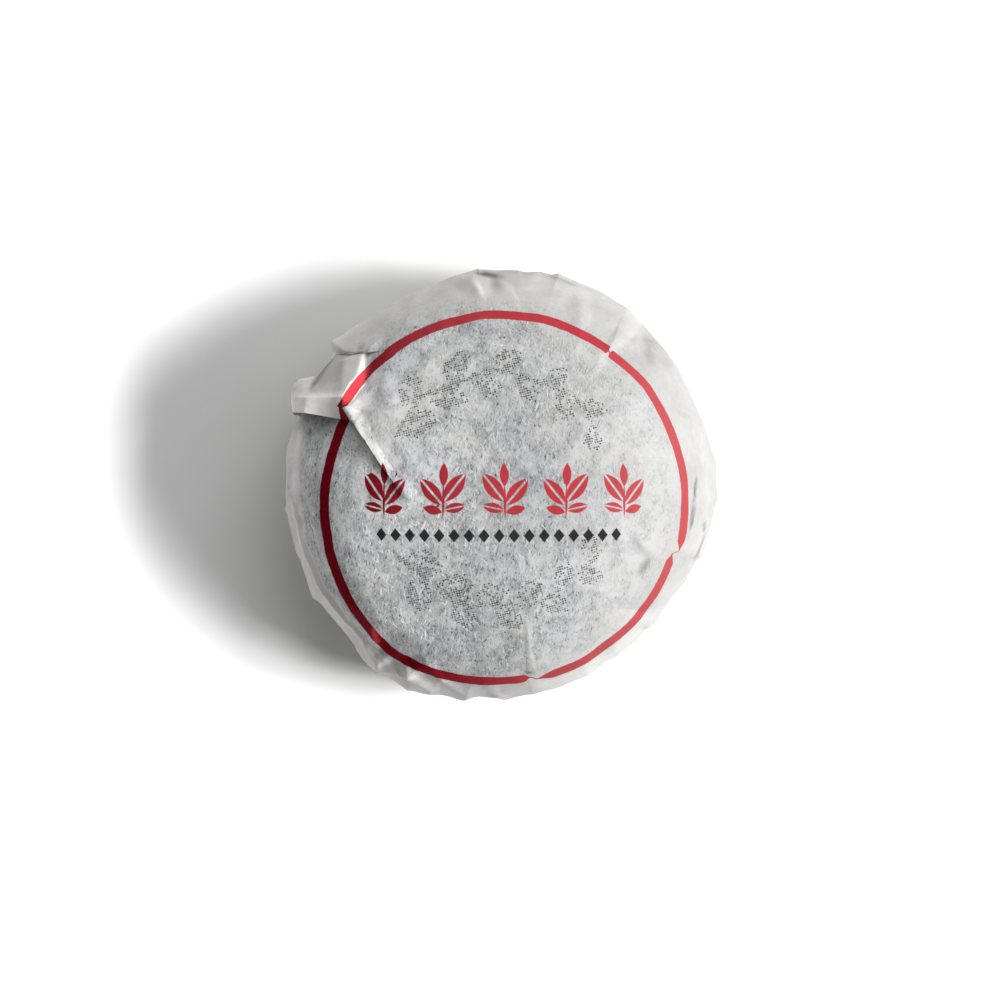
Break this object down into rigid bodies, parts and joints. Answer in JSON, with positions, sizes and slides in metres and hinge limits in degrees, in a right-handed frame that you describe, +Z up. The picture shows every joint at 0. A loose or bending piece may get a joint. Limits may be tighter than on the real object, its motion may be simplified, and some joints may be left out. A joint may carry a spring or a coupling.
{
  "type": "paper-wrapped tuocha tea cake",
  "caption": "Small nest-shaped cake of pressed tea in thin white paper: domed crown with a printed red ring, pleated wall, flat foot and a hollow that holds the gathered paper end.",
  "frame": {"origin": "on the surface the cake stands on, under the middle of its outline", "axes": "+Z up through the crown; +Y towards the top of the print, +X to the right of the print as it is read"},
  "size_m": [0.0306, 0.031, 0.0185],
  "materials": {
    "wrapping_paper": "matte thin white paper with long fibres, dark tea showing through where it lies tight, printed red ring and dark print"
  },
  "bodies": {
    "root": {"wrapped_tuocha": "wrapping_paper"}
  },
  "joints": []
}
